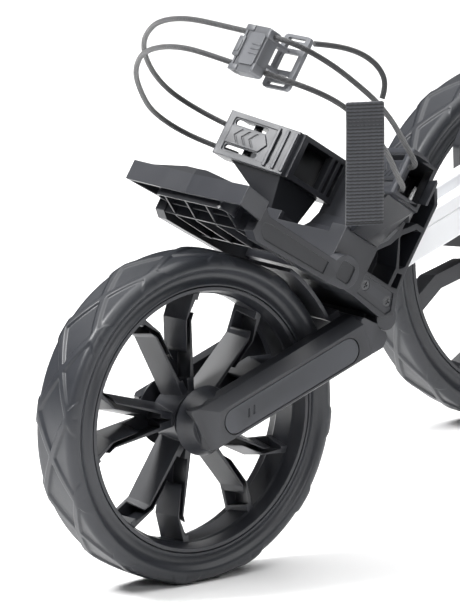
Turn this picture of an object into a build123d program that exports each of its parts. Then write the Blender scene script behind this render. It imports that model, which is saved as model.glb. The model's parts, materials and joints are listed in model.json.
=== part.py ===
from build123d import *
import os
from math import acos, atan2, cos, dist, radians, sin, tan

# A three-wheeled golf push cart without its bag. All sizes are in millimetres.
# +X points to the rear, +Y to the cart's right side, +Z up; the floor is z = 0.
os.makedirs("parts", exist_ok=True)

# ---------------------------------------------------------------- driving dimensions
FRONT_RADIUS = 120.5  # outside of the front tyre
REAR_RADIUS = 146.0  # outside of the rear tyres
TYRE_WIDTH = 45.0
WHEELBASE = 545.0
HALF_TRACK = 280.0  # centre plane to the middle of a rear tyre
FRONT_X = -285.25  # front axle, which puts the cart's box middle at x = 0
BAG_INCLINE = 57.5  # of the bag's axis from the floor
RAIL_INCLINE = 20.5
FORK_INCLINE = 20.0
MAST_INCLINE = 73.0
BODY_HALF = 46.5  # half width of the lower bracket body
WALL = 2.5  # common moulded wall
CORD_D = 4.0  # elastic cord
AXLE_R = 6.0
RUNNING = 0.05  # radial clearance of every turning fit

# ---------------------------------------------------------------- frames
D = (-sin(radians(BAG_INCLINE)), 0, cos(radians(BAG_INCLINE)))  # out of the bag's front
N = (cos(radians(BAG_INCLINE)), 0, sin(radians(BAG_INCLINE)))  # along the bag's axis


def at(x, y, z):
    """A point given from the front axle's centre."""
    return (FRONT_X + x, y, FRONT_RADIUS + z)


def bag_point(s, y, h):
    """A point given by its reach s out of the bag and its height h along the bag."""
    return at(s * D[0] + h * N[0], y, s * D[2] + h * N[2])


def side(y=0.0, x=0.0, z=0.0, turn=0.0):
    """Upright plane facing -Y, local x rearward and turned up by an angle."""
    a = radians(turn)
    return Plane(origin=at(x, y, z), x_dir=(cos(a), 0, sin(a)), z_dir=(0, -1, 0))


def bag(y=0.0):
    """Upright plane facing +Y with local coordinates (s, h)."""
    return Plane(origin=at(0, y, 0), x_dir=D, z_dir=(0, 1, 0))


def deck(h):
    """Plane square to the bag's axis with local coordinates (s, -y)."""
    return Plane(origin=bag_point(0, 0, h), x_dir=D, z_dir=N)


def outline(plane, points):
    with BuildSketch(plane) as sketch:
        with BuildLine():
            Polyline(*points, close=True)
        make_face()
    return sketch.sketch


def rounded(plane, points, radius):
    with BuildSketch(plane) as sketch:
        with BuildLine():
            Polyline(*points, close=True)
        make_face()
        fillet(sketch.vertices(), radius)
    return sketch.sketch


def disc(plane, radius, centre=(0, 0)):
    with BuildSketch(plane) as sketch:
        with Locations(centre):
            Circle(radius)
    return sketch.sketch


def ring(plane, outer, inner, centre=(0, 0)):
    with BuildSketch(plane) as sketch:
        with Locations(centre):
            Circle(outer)
            Circle(inner, mode=Mode.SUBTRACT)
    return sketch.sketch


def slot(plane, length, width, centre=(0, 0), turn=0):
    with BuildSketch(plane) as sketch:
        with Locations(centre):
            SlotOverall(length, width, rotation=turn)
    return sketch.sketch


def tube(points, outer, inner, bend):
    """Bent round tube through the points; inner = 0 gives a solid bar."""
    with BuildPart() as made:
        with BuildLine() as path:
            FilletPolyline(*points, radius=bend)
        start = Plane(origin=path.line @ 0, z_dir=path.line % 0)
        with BuildSketch(start):
            Circle(outer)
            if inner:
                Circle(inner, mode=Mode.SUBTRACT)
        sweep()
    return made.part


# ---------------------------------------------------------------- wheels
def tyre(centre, radius):
    """Flat crown, rounded shoulders and dished sidewalls down to the rim lips."""
    seat, half = radius - 25.5, TYRE_WIDTH / 2
    section = Plane(origin=centre, x_dir=(0, 1, 0), z_dir=(1, 0, 0))
    with BuildPart() as made:
        with BuildSketch(section):
            with BuildLine():
                for k in (1, -1):
                    Line((0, radius), (16.5 * k, radius))
                    ThreePointArc(
                        (16.5 * k, radius), ((half - 1.5) * k, radius - 2.4), (half * k, radius - 8)
                    )
                    ThreePointArc(
                        (half * k, radius - 8), (19.2 * k, radius - 15), (19.4 * k, radius - 23.2)
                    )
                    Line((19.4 * k, radius - 23.2), (17.6 * k, radius - 23.2))
                    Line((17.6 * k, radius - 23.2), (17.6 * k, seat))
                Line((17.6, seat), (-17.6, seat))
            make_face()
        revolve(axis=Axis(centre, (0, 1, 0)))
    return made.part


def rim_seat(radius):
    """Radius of the bead seat and of the rim's inside."""
    seat = radius - 25.5
    return seat, seat - 4.5


def rim(centre, radius):
    """Rim ring with its two lips and a step inside."""
    seat, inside = rim_seat(radius)
    half = [(17.6, seat), (17.6, seat + 2.1), (20, seat + 1.6), (20, seat - 1), (11, inside + 1), (9, inside)]
    with BuildPart() as made:
        with BuildSketch(Plane(origin=centre, x_dir=(0, 1, 0), z_dir=(1, 0, 0))):
            with BuildLine():
                Polyline(*half, *[(-y, r) for y, r in reversed(half)], close=True)
            make_face()
        revolve(axis=Axis(centre, (0, 1, 0)))
    return made.part


def spokes(centre, radius, open_to):
    """Five forked spokes with an open channel on one side, and the hub barrel."""
    seat, inside = rim_seat(radius)
    across = Plane(origin=centre, z_dir=(0, 1, 0))
    back = Plane(origin=centre, x_dir=(1, 0, 0), z_dir=(0, open_to, 0)).offset(-12)
    kink = 0.795 * inside
    with BuildPart() as made:
        for sign in (1, -1):
            solid = spoke(13, kink, inside + 7, 13.0, sign)
            channel = spoke(27, kink, inside - 2, 10.2, sign)
            for plane, corners, rise, mode in (
                (back, solid, 22.0, Mode.ADD),
                (back.offset(2.5), channel, 19.6, Mode.SUBTRACT),
            ):
                with BuildSketch(plane) as legs:
                    with PolarLocations(0, 5, start_angle=105):
                        Polygon(*corners, align=None)
                extrude(legs.sketch, amount=rise, taper=10.0, mode=mode)
        for reach, half in ((20.0, 13.0), (17.5, 17.0), (14.5, 19.5)):
            extrude(disc(across, reach), amount=half, both=True)
        # the spokes end on the rim's inside
        edge = [(9, inside), (11, inside + 1), (20, seat - 1), (20, seat + 12)]
        with BuildSketch(Plane(origin=centre, x_dir=(0, 1, 0), z_dir=(1, 0, 0))) as beyond:
            with BuildLine():
                Polyline(*edge, *[(-y, r) for y, r in reversed(edge)], close=True)
            make_face()
        revolve(beyond.sketch, axis=Axis(centre, (0, 1, 0)), mode=Mode.SUBTRACT)
        extrude(disc(across, AXLE_R + RUNNING), amount=30, both=True, mode=Mode.SUBTRACT)
    return made.part


def spoke(inner, kink, outer, width, sign):
    """Corners of one spoke that runs out, kinks and goes on to the rim."""
    angles = (radians(5.0 * sign), radians(11.3 * sign), radians(18.0 * sign))
    path = [(r * cos(a), r * sin(a)) for r, a in zip((inner, kink, outer), angles)]
    runs = [atan2(q[1] - p[1], q[0] - p[0]) for p, q in zip(path, path[1:])]
    turns = (runs[0], (runs[0] + runs[1]) / 2, runs[1])
    half = width / 2
    left = [(x - half * sin(a), y + half * cos(a)) for (x, y), a in zip(path, turns)]
    right = [(x + half * sin(a), y - half * cos(a)) for (x, y), a in zip(path, turns)]
    return left[::-1] + right


front_centre = at(0, 0, 0)
left_centre = at(WHEELBASE, -HALF_TRACK, REAR_RADIUS - FRONT_RADIUS)
right_centre = at(WHEELBASE, HALF_TRACK, REAR_RADIUS - FRONT_RADIUS)

with BuildPart() as front_tyre:
    add(tyre(front_centre, FRONT_RADIUS))

with BuildPart() as front_rim:
    add(rim(front_centre, FRONT_RADIUS))

with BuildPart() as front_spokes:
    add(spokes(front_centre, FRONT_RADIUS, -1))

with BuildPart() as rear_tyre_left:
    add(tyre(left_centre, REAR_RADIUS))

with BuildPart() as rear_rim_left:
    add(rim(left_centre, REAR_RADIUS))

with BuildPart() as rear_spokes_left:
    add(spokes(left_centre, REAR_RADIUS, -1))

with BuildPart() as rear_tyre_right:
    add(tyre(right_centre, REAR_RADIUS))

with BuildPart() as rear_rim_right:
    add(rim(right_centre, REAR_RADIUS))

with BuildPart() as rear_spokes_right:
    add(spokes(right_centre, REAR_RADIUS, 1))

# ---------------------------------------------------------------- front fork
LEG_IN, LEG_OUT = 28.0, 48.0
LEG_END = 138.0
PIVOT_X, PIVOT_Z, PIVOT_R = 150.0, 60.0, 4.0
COVER_L, COVER_W = (2.0, 128.0), 9.5
leg_section = [
    (LEG_IN, -12.5),
    (LEG_OUT - 1, -12.5),
    (LEG_OUT, -11.5),
    (LEG_OUT, 12.5),
    (LEG_OUT - 10, 18),
    (LEG_IN, 18),
]
leg_along = (cos(radians(FORK_INCLINE)), 0, sin(radians(FORK_INCLINE)))
leg_plane = Plane(origin=at(0, 0, 0), x_dir=(0, -1, 0), z_dir=leg_along)

with BuildPart() as fork_leg_left:
    # local x of the section plane points to -Y and local y is down across the leg
    extrude(outline(leg_plane.offset(-16), [(y, -w) for y, w in leg_section]), amount=LEG_END + 16)
    # the front end is cut back from the outer face towards the hub
    wedge = Plane(origin=at(0, 0, -60), x_dir=(1, 0, 0), z_dir=(0, 0, 1))
    extrude(
        outline(wedge, [(-6, -LEG_OUT), (-21, -34), (-60, -34), (-60, -70), (-6, -70)]),
        amount=120,
        mode=Mode.SUBTRACT,
    )
    # round boss that carries the axle end, narrowing outwards
    with BuildSketch(side(-22.5)):
        Circle(25.6)
    with BuildSketch(side(-34)):
        Circle(19.0)
    loft()
    inset = slot(side(-LEG_OUT, turn=FORK_INCLINE), 130, 2 * COVER_W + 1, (64, 0))
    extrude(inset, amount=-2, mode=Mode.SUBTRACT)
    extrude(disc(side(-22), AXLE_R), amount=16, mode=Mode.SUBTRACT)

with BuildPart() as fork_leg_right:
    add(mirror(fork_leg_left.part, about=Plane.XZ, mode=Mode.PRIVATE))

with BuildPart() as fork_cover_left:
    extrude(slot(side(-LEG_OUT + 2, turn=FORK_INCLINE), 128, 2 * COVER_W, (64, 0)), amount=1.8)
    for x in (20.0, 25.0):
        mark = outline(
            side(-LEG_OUT + 1, turn=FORK_INCLINE), [(x, -3), (x + 2, -3), (x + 4, 3), (x + 2, 3)]
        )
        extrude(mark, amount=2, mode=Mode.SUBTRACT)

with BuildPart() as fork_cover_right:
    add(mirror(fork_cover_left.part, about=Plane.XZ, mode=Mode.PRIVATE))

with BuildPart() as fork_crown:
    # bridge behind the tyre, from leg to leg
    bridge = [(LEG_END, -13), (150, -13), (156, -8), (156, 2), (148, 9), (LEG_END, 20)]
    extrude(rounded(side(0, turn=FORK_INCLINE), bridge, 2.5), amount=LEG_OUT - 2, both=True)
    extrude(disc(side(0, PIVOT_X, PIVOT_Z), 10), amount=30, both=True)
    neck = [(140, 60), (136, 50), (140, 42), (154, 44), (160, 60)]
    extrude(outline(side(0), neck), amount=30, both=True)
    for k in (1, -1):
        around_lug = disc(side(-30.6 * k, PIVOT_X, PIVOT_Z), 9.8)
        extrude(around_lug, amount=20 * k, mode=Mode.SUBTRACT)
    extrude(disc(side(0, PIVOT_X, PIVOT_Z), PIVOT_R + RUNNING), amount=60, both=True, mode=Mode.SUBTRACT)

with BuildPart() as mudguard:
    # thin shell over the back of the tyre with a rib, carried by the crown
    shell = Plane(origin=at(0, 0, 0), x_dir=(1, 0, 0), z_dir=(0, -1, 0))
    with BuildSketch(shell) as arc:
        with BuildLine():
            inner_arc = CenterArc((0, 0), 125.0, 29, 24)
            outer_arc = CenterArc((0, 0), 128.0, 29, 24)
            Line(inner_arc @ 0, outer_arc @ 0)
            Line(inner_arc @ 1, outer_arc @ 1)
        make_face()
    extrude(arc.sketch, amount=25, both=True)
    stay = [(109.5, 60.5), (111.9, 62.1), (122.6, 66.0), (124.5, 60.8), (117, 57.5)]
    extrude(outline(side(0), stay), amount=22, both=True)

with BuildPart() as front_axle:
    # axle with a collar on each side of the hub
    extrude(disc(side(0), AXLE_R), amount=38, both=True)
    for k in (1, -1):
        extrude(disc(Plane(origin=at(0, 19.9 * k, 0), z_dir=(0, k, 0)), 11), amount=2.4)

with BuildPart() as fork_pin:
    extrude(disc(side(0, PIVOT_X, PIVOT_Z), PIVOT_R), amount=42, both=True)

# ---------------------------------------------------------------- rails
RAIL_Y, RAIL_W, RAIL_H, RAIL_WALL = 14.5, 12.0, 30.6, 1.6
RAIL_MID = (216.7, 115.4)
RAIL_FROM, RAIL_TO = -84.0, 80.0
rail_dir = (cos(radians(RAIL_INCLINE)), 0, sin(radians(RAIL_INCLINE)))


def rail_section(y, along, grow=0.0, hollow=False):
    plane = Plane(
        origin=at(RAIL_MID[0] + along * rail_dir[0], y, RAIL_MID[1] + along * rail_dir[2]),
        x_dir=(0, 1, 0),
        z_dir=rail_dir,
    )
    with BuildSketch(plane) as section:
        RectangleRounded(RAIL_W + 2 * grow, RAIL_H + 2 * grow, 2.5 + grow)
        if hollow:
            RectangleRounded(
                RAIL_W - 2 * RAIL_WALL, RAIL_H - 2 * RAIL_WALL, 1.0, mode=Mode.SUBTRACT
            )
    return section.sketch


with BuildPart() as rail_left:
    extrude(rail_section(-RAIL_Y, RAIL_FROM, hollow=True), amount=RAIL_TO - RAIL_FROM)
    groove = side(-RAIL_Y - RAIL_W / 2, *RAIL_MID, turn=RAIL_INCLINE)
    extrude(
        outline(groove, [(RAIL_FROM, 4.6), (RAIL_TO, 4.6), (RAIL_TO, 5.6), (RAIL_FROM, 5.6)]),
        amount=-0.5,
        mode=Mode.SUBTRACT,
    )

with BuildPart() as rail_right:
    add(mirror(rail_left.part, about=Plane.XZ, mode=Mode.PRIVATE))

with BuildPart() as rail_spacer:
    for along in (-78.0, 0.0, 66.0):
        plane = side(0, *RAIL_MID, turn=RAIL_INCLINE)
        block = [(along, -9), (along + 10, -9), (along + 10, 9), (along, 9)]
        extrude(outline(plane, block), amount=RAIL_Y - RAIL_W / 2 - 0.02, both=True)

# ---------------------------------------------------------------- lower bracket
FOOT_S, FOOT_H, FOOT_R = -30.0, 140.0, 5.0
SHELF = 24.0  # |y| of the pocket floors
body_outline = [
    (-22, 133),
    (-40, 131),
    (-55, 131),
    (-86, 128),
    (-97, 135),
    (-91.5, 152),
    (-90, 169),
    (-90, 222),
    (-83, 232),
    (-67, 232),
    (-67, 190),
    (-63, 180),
    (-56, 172),
    (-22, 172),
]
pockets = [
    [(-57, 152), (-57, 169), (-66, 178), (-70, 186), (-80, 166), (-80, 152)],
    [(-83, 166), (-87.5, 170), (-87.5, 198), (-82, 198), (-71.5, 188), (-71.5, 186)],
    [(-70, 192), (-80, 202), (-87.5, 202), (-87.5, 221), (-82, 229), (-70, 229)],
    [(-83, 152), (-89, 153), (-88, 164), (-83, 163)],
]
with BuildPart() as bracket_body:
    extrude(outline(bag(0), body_outline), amount=BODY_HALF, both=True)
    # hollow front pillar with a dished top edge on its front wall
    pillar = [(-25, 40), (-50, 40), (-50, -40), (-25, -40)]
    extrude(rounded(deck(150), pillar, 4), amount=40, mode=Mode.SUBTRACT)
    front_dish = [(-21, 30), (-26, 30), (-26, -30), (-21, -30)]
    extrude(outline(deck(165), front_dish), amount=10, mode=Mode.SUBTRACT)
    # side pockets between diagonal ribs
    for k in (1, -1):
        for pocket in pockets:
            extrude(outline(bag(SHELF * k), pocket), amount=30 * k, mode=Mode.SUBTRACT)
        screw_pad = [(-57, 134.5), (-90, 132.5), (-93, 137), (-88, 149), (-57, 149)]
        extrude(
            outline(bag((BODY_HALF - 1.2) * k), screw_pad), amount=5 * k, mode=Mode.SUBTRACT
        )
    # the rails run in through the back wall
    for y in (-RAIL_Y, RAIL_Y):
        extrude(rail_section(y, RAIL_FROM - 0.3, grow=0.05), amount=80, mode=Mode.SUBTRACT)
    spacer_slot = side(0, *RAIL_MID, turn=RAIL_INCLINE)
    extrude(
        outline(spacer_slot, [(-84.3, -11), (0, -11), (0, 11), (-84.3, 11)]),
        amount=8.6,
        both=True,
        mode=Mode.SUBTRACT,
    )
    # room for the fork's knuckle to turn
    sweep_room = [(132, 44), (139.5, 62), (139.5, 66), (144, 71.2), (166, 71.2), (190, 60), (190, 30)]
    extrude(outline(side(0), sweep_room), amount=31, both=True, mode=Mode.SUBTRACT)
    # lugs for the fork pin
    for k in (1, -1):
        lug = disc(side(-31.5 * k, PIVOT_X, PIVOT_Z), 9)
        extrude(lug, amount=(BODY_HALF - 2.5 - 31.5) * k)
    extrude(disc(side(0, PIVOT_X, PIVOT_Z), PIVOT_R), amount=42, both=True, mode=Mode.SUBTRACT)
    # seats of the foot pivots and of the four screws
    extrude(disc(bag(0), FOOT_R, (FOOT_S, FOOT_H)), amount=60, both=True, mode=Mode.SUBTRACT)
    for s, h in ((-62, 143), (-87, 141.5)):
        extrude(disc(bag(0), 4.1, (s, h)), amount=60, both=True, mode=Mode.SUBTRACT)

with BuildPart() as bracket_screws:
    for k in (1, -1):
        for s, h in ((-62, 143), (-87, 141.5)):
            extrude(disc(bag(34 * k), 4.0, (s, h)), amount=9.5 * k)
            extrude(disc(bag(43.5 * k), 4.0, (s, h)), amount=1.5 * k)
            for turn in (0, 90):
                cross = slot(bag(44 * k), 4.6, 1.1, (s, h), turn)
                extrude(cross, amount=1.5 * k, mode=Mode.SUBTRACT)

with BuildPart() as foot_pivots:
    for k in (1, -1):
        extrude(disc(bag(38 * k), FOOT_R, (FOOT_S, FOOT_H)), amount=18.5 * k)

# ---------------------------------------------------------------- cradle arms
ARM_LOW, ARM_HIGH = 197.0, 232.0
PAD_T = 3.0
PAD_SLOPE = 0.303  # how far the pad plane comes forward per mm outboard
pad_u = 1 / (1 + PAD_SLOPE**2) ** 0.5
pad_dir = (D[0] * PAD_SLOPE * pad_u, -pad_u, D[2] * PAD_SLOPE * pad_u)
pad_out = (D[0] * pad_u, PAD_SLOPE * pad_u, D[2] * pad_u)
pad_plane = Plane(origin=bag_point(-30, 0, 0), x_dir=pad_dir, z_dir=pad_out)


def pad_s(y, back=0.0):
    """Reach s of the pad plane at a distance y from the middle, set back if asked."""
    return -30 + PAD_SLOPE * y - back / pad_u


arm_plan = [
    (pad_s(43, PAD_T), 43),
    (pad_s(106, PAD_T), 106),
    (-33, 106),
    (-35, 96),
    (-46, 76),
    (-66.9, 54),
    (-66.9, 38),
    (pad_s(43, PAD_T), 40),
]
with BuildPart() as arm_left:
    extrude(outline(deck(ARM_LOW), arm_plan), amount=ARM_HIGH - ARM_LOW)
    hollow = [
        (pad_s(46, PAD_T + 3), 46),
        (pad_s(110, PAD_T + 3), 110),
        (-30.5, 110),
        (-32.5, 95),
        (-43.5, 74),
        (-62, 54.5),
        (-60, 46),
    ]
    extrude(
        outline(deck(ARM_LOW + WALL), hollow), amount=ARM_HIGH - ARM_LOW - 2 * WALL, mode=Mode.SUBTRACT
    )
    # the window behind the pad's slots
    window = [(50, ARM_LOW + 3), (116, ARM_LOW + 3), (116, ARM_HIGH - 3), (50, ARM_HIGH - 3)]
    extrude(outline(pad_plane.offset(-PAD_T - 6), window), amount=8, mode=Mode.SUBTRACT)
    # the outboard end's corners slope in towards the back
    for points in (
        [(-16, ARM_HIGH - 1), (-29, 225), (-36, 217), (-60, 217), (-60, 240), (-16, 240)],
        [(-10, ARM_LOW - 0.5), (-23, 199), (-36, 204), (-60, 204), (-60, 190), (-10, 190)],
    ):
        extrude(outline(bag(-96), points), amount=-12, mode=Mode.SUBTRACT)
    # wide opening and two slots through the inboard side wall
    for s_front, s_back in ((-25, -51), (-54, -57), (-60, -63)):
        window = [(s_front, 201), (s_back, 201), (s_back, 228), (s_front, 228)]
        extrude(outline(bag(-36), window), amount=-12, mode=Mode.SUBTRACT)
    # skirt down to the body
    with BuildSketch(deck(ARM_LOW)):
        with BuildLine():
            Polyline((-20, 46.9), (-7, 92), (-38, 88), (-60, 56), (-60, 46.9), close=True)
        make_face()
    with BuildSketch(deck(170)):
        with BuildLine():
            Polyline((-26, 46.9), (-26, 50), (-40, 51), (-53, 50), (-53, 46.9), close=True)
        make_face()
    loft()

with BuildPart() as arm_right:
    add(mirror(arm_left.part, about=Plane.XZ, mode=Mode.PRIVATE))

PAD_FROM, PAD_TO = 45.0, 110.8
with BuildPart() as pad_left:
    plate = [(PAD_FROM, ARM_LOW), (PAD_TO, ARM_LOW), (PAD_TO, ARM_HIGH), (PAD_FROM, ARM_HIGH)]
    extrude(outline(pad_plane.offset(-PAD_T), plate), amount=PAD_T)
    # recessed field, raised tongue, two long slots and three ridges
    field = [(60, 201), (104, 201), (104, 228), (60, 228)]
    extrude(rounded(pad_plane.offset(-0.8), field, 1.5), amount=2, mode=Mode.SUBTRACT)
    tongue = [(68, 214.5), (73, 207.5), (103.9, 207.5), (103.9, 221.5), (73, 221.5)]
    extrude(outline(pad_plane.offset(-1.2), tongue), amount=1.4)
    for h in (204.3, 224.7):
        extrude(
            slot(pad_plane.offset(-PAD_T - 1), 30, 4.4, (87.8, h)), amount=6, mode=Mode.SUBTRACT
        )
    for u in (46.8, 54.8, 62.8):
        extrude(
            outline(pad_plane.offset(-1), [(u - 1.2, 199), (u + 1.2, 199), (u + 1.2, 230), (u - 1.2, 230)]),
            amount=2.2,
        )
    for u in (78.0, 85.0, 92.0):
        chevron = [(u, 209), (u + 5, 214.5), (u, 220), (u + 1.8, 220), (u + 6.8, 214.5), (u + 1.8, 209)]
        extrude(outline(pad_plane.offset(-0.3), chevron), amount=1, mode=Mode.SUBTRACT)
    chamfer(pad_left.edges().filter_by(Axis((0, 0, 0), N)).sort_by_distance(bag_point(3, -107, 214))[0], 1.4)

with BuildPart() as pad_right:
    add(mirror(pad_left.part, about=Plane.XZ, mode=Mode.PRIVATE))

with BuildPart() as cord_posts:
    for k in (1, -1):
        post = disc(deck(ARM_LOW + WALL), 3.2, (-15, -88 * k))
        extrude(post, amount=ARM_HIGH - ARM_LOW - 2 * WALL)

# ---------------------------------------------------------------- foot rest
BAR_HALF, FOOT_OUT, FOOT_IN = 68.0, 58.0, 47.6
BAR_END, BAR_MID = 90.5, 88.0  # reach of the bar at its ends and in the middle
FOOT_LOW, FOOT_TOP = 123.5, 143.0
with BuildPart() as foot_frame:
    # side arms with their pivot bosses
    for k in (1, -1):
        arm = [(-20, 126.5), (40, 124), (56, 123.5), (62, 128), (62, 149), (54, 143.5), (-20, 143.5)]
        extrude(outline(bag(FOOT_IN * k), arm), amount=(FOOT_OUT - FOOT_IN) * k)
        extrude(disc(bag(FOOT_IN * k), 12.5, (FOOT_S, FOOT_H)), amount=(FOOT_OUT - FOOT_IN) * k)
        blend = [(-30, 127.6), (-18, 126.4), (-18, 143.5), (-30, 152.4)]
        extrude(outline(bag(FOOT_IN * k), blend), amount=(FOOT_OUT - FOOT_IN) * k)
        panel = [(-12, 130), (50, 127.5), (56, 132), (56, 138), (50, 139.5), (-12, 139.5)]
        extrude(outline(bag((FOOT_OUT - 0.8) * k), panel), amount=3 * k, mode=Mode.SUBTRACT)
        recess = [(-37, 133), (-23, 133), (-23, 147), (-37, 147)]
        extrude(rounded(bag((FOOT_OUT - 1) * k), recess, 3), amount=3 * k, mode=Mode.SUBTRACT)
    # raised front bar, hollow from below
    corner = [(61, FOOT_OUT), (62, 60), (BAR_END, BAR_HALF)]
    bar = [*corner, (BAR_MID, 0), *[(s, -y) for s, y in reversed(corner)]]
    extrude(outline(deck(137), bar), amount=15)
    crest = [(62, 48), (BAR_END - 1, 48), (BAR_MID, 0), (BAR_END - 1, -48), (62, -48)]
    with BuildSketch(deck(151.9)):
        with BuildLine():
            Polyline(*crest, close=True)
        make_face()
    with BuildSketch(deck(157)):
        with BuildLine():
            top = BAR_MID - 0.5
            Polyline((66, 12), (top, 12), (top - 0.5, 0), (top, -12), (66, -12), close=True)
        make_face()
    loft()
    inner_corner = [(61, 45), (61, 56), (BAR_END - WALL, BAR_HALF - WALL)]
    under = [*inner_corner, (BAR_MID - WALL, 0), *[(s, -y) for s, y in reversed(inner_corner)]]
    extrude(outline(deck(135), under), amount=14.5, mode=Mode.SUBTRACT)
    # the plate the bag stands on, and the ribs and pocket under it
    plate = [(-4, 47.7), (61.5, 47.7), (61.5, -47.7), (-4, -47.7)]
    extrude(outline(deck(140.5), plate), amount=3)
    for y in (-36.0, -12.0, 12.0, 36.0):
        rib = [(-4, 140.6), (-4, 134), (20, 127), (58, 127), (86, 139.5), (86, 149.6)]
        rib += [(62, 149.6), (61, 140.6)]
        extrude(outline(bag(y - 0.9), rib), amount=1.8)
    for s in (20.0, 59.0):
        wall = [(s, 47.7), (s + 1.8, 47.7), (s + 1.8, -47.7), (s, -47.7)]
        extrude(outline(deck(127.5), wall), amount=14)
    with BuildSketch(deck(133)) as pocket:
        with Locations((74, 0)):
            SlotOverall(84, 17, rotation=90)
            SlotOverall(80.4, 13.4, rotation=90, mode=Mode.SUBTRACT)
    extrude(pocket.sketch, amount=17)
    extrude(disc(bag(0), FOOT_R + RUNNING, (FOOT_S, FOOT_H)), amount=56.7, both=True, mode=Mode.SUBTRACT)

# ---------------------------------------------------------------- bag strap cords
cord_routes = {
    "cord_upper_far": [
        (193, -126.5, 230), (196, -91, 230), (197, -66, 230), (191, -37, 230), (178, -3, 229),
        (157, 31, 228), (133, 63, 227), (105, 92, 226), (70, 120, 225), (40, 134, 224),
        (18, 130, 223), (2, 118, 222), (-8, 106.5, 221.5), (-12.5, 96, 221.5),
    ],
    "cord_lower_far": [
        (195, -125.8, 205), (204, -105, 205), (207, -83, 205), (200, -51, 205), (184, -13, 204),
        (161, 21, 203), (131, 57, 202), (97, 88, 201), (62, 117, 201), (35, 127, 201.5),
        (15, 124, 202), (1, 115, 203), (-8, 105, 203.5), (-12.5, 95, 203.5),
    ],
    "cord_upper_near": [
        (192, -153.5, 230), (189, -166, 230), (177, -176, 230), (155, -180, 230), (128, -175, 230),
        (98, -166, 230), (64, -149, 229), (36, -132, 227), (15, -120, 225), (1, -113, 223),
        (-8, -105, 222), (-12.5, -95, 222),
    ],
    "cord_lower_near": [
        (187, -153.5, 205), (177, -167, 206), (165, -183, 207), (146, -187, 208.5),
        (122, -179, 210), (98, -172, 209), (74, -165, 206), (50, -149, 205), (27, -132, 203.5),
        (10, -119, 203.5), (-3, -109.5, 203.5), (-12, -98, 203.5),
    ],
    "cord_tail": [
        (187.6, -190.5, 232.4), (172, -193.4, 239.4), (154, -197, 243.9), (140, -199.5, 243.4),
        (129, -200.8, 239), (123, -200.5, 232), (121, -199.6, 225.2),
    ],
}


def cord_bends(points):
    """Bend radius at each inner point, from the shorter neighbouring run and the turn."""
    bends = []
    for a, b, c in zip(points, points[1:], points[2:]):
        ab, bc = dist(a, b), dist(b, c)
        along = sum((q - p) * (r - q) for p, q, r in zip(a, b, c)) / (ab * bc)
        turn = acos(max(-1, min(1, along)))
        bends.append(0.45 * min(ab, bc) / tan(turn / 2))
    return bends


def cord(name):
    points = [bag_point(*p) for p in cord_routes[name]]
    return tube(points, CORD_D / 2, 0, cord_bends(points))


with BuildPart() as cord_upper_far:
    add(cord("cord_upper_far"))
with BuildPart() as cord_lower_far:
    add(cord("cord_lower_far"))
with BuildPart() as cord_upper_near:
    add(cord("cord_upper_near"))
with BuildPart() as cord_lower_near:
    add(cord("cord_lower_near"))
with BuildPart() as cord_tail:
    add(cord("cord_tail"))

# ---------------------------------------------------------------- buckle and pull tab
BUCKLE_Y, BUCKLE_S, BUCKLE_H = -140.0, 192.0, 217.0
buckle_face = Plane(origin=bag_point(BUCKLE_S, BUCKLE_Y, BUCKLE_H), x_dir=(0, -1, 0), z_dir=D)
with BuildPart() as buckle_body:
    with BuildSketch(buckle_face.offset(-5)):
        RectangleRounded(26, 35, 3)
    extrude(amount=10)
    with BuildSketch(buckle_face.offset(4.9)):
        with Locations((3, 0)):
            RectangleRounded(16, 24, 2)
    extrude(amount=1.4)
    with BuildSketch(buckle_face.offset(3)):
        with Locations((-10.5, 0)):
            Rectangle(1.2, 27)
    extrude(amount=4, mode=Mode.SUBTRACT)

with BuildPart() as buckle_tongue:
    # hook plate behind the body that carries the ladder lock
    hook = Plane(origin=bag_point(173.6, -146, 219.5), x_dir=(0, -1, 0), z_dir=D)
    with BuildSketch(hook):
        with Locations((0, 8.5), (0, -8.5)):
            RectangleRounded(8, 3, 0.8)
    extrude(amount=BUCKLE_S - 5.1 - 173.6)

lock_face = Plane(origin=bag_point(172, -152.5, 220.5), x_dir=(0, -1, 0), z_dir=D)
with BuildPart() as ladder_lock:
    with BuildSketch(lock_face):
        RectangleRounded(29, 41, 3.5)
        for h, tall in ((0, 13), (11.6, 3.2), (-11.6, 3.2), (17, 2.2), (-17, 2.2)):
            with Locations((0, h)):
                RectangleRounded(19, tall, 1, mode=Mode.SUBTRACT)
    extrude(amount=1.5, both=True)

TAB_W, TAB_T, TAB_DROP = 27.0, 1.3, 84.0
tab_top = at(7.9, -194.6, 252.4)
tab_face = Plane(origin=tab_top, x_dir=(0.92, -0.39, 0), z_dir=(-0.39, -0.92, 0))
with BuildPart() as webbing_pull:
    with BuildSketch(tab_face):
        with Locations((0, -TAB_DROP / 2)):
            Rectangle(TAB_W, TAB_DROP)
    extrude(amount=TAB_T, both=True)

# ---------------------------------------------------------------- folding hub
HUB_X, HUB_Z, HUB_HALF = 300.0, 146.5, 50.0
hub_outline = [
    (291, 112),
    (310, 100),
    (346, 104),
    (360, 124),
    (356, 162),
    (336, 182),
    (302, 184),
    (289, 160),
]
MAST_X, MAST_Z = 306.0, 158.0
LEG_X, LEG_Y = 326.0, 34.0
LEG_PIN_R = 5.0
mast_dir = (cos(radians(MAST_INCLINE)), 0, sin(radians(MAST_INCLINE)))


def mast_point(along, y=0.0, across=0.0):
    """A point along the mast from its fold pin; across is towards the bag."""
    return at(
        MAST_X + along * mast_dir[0] - across * mast_dir[2],
        y,
        MAST_Z + along * mast_dir[2] + across * mast_dir[0],
    )


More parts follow.
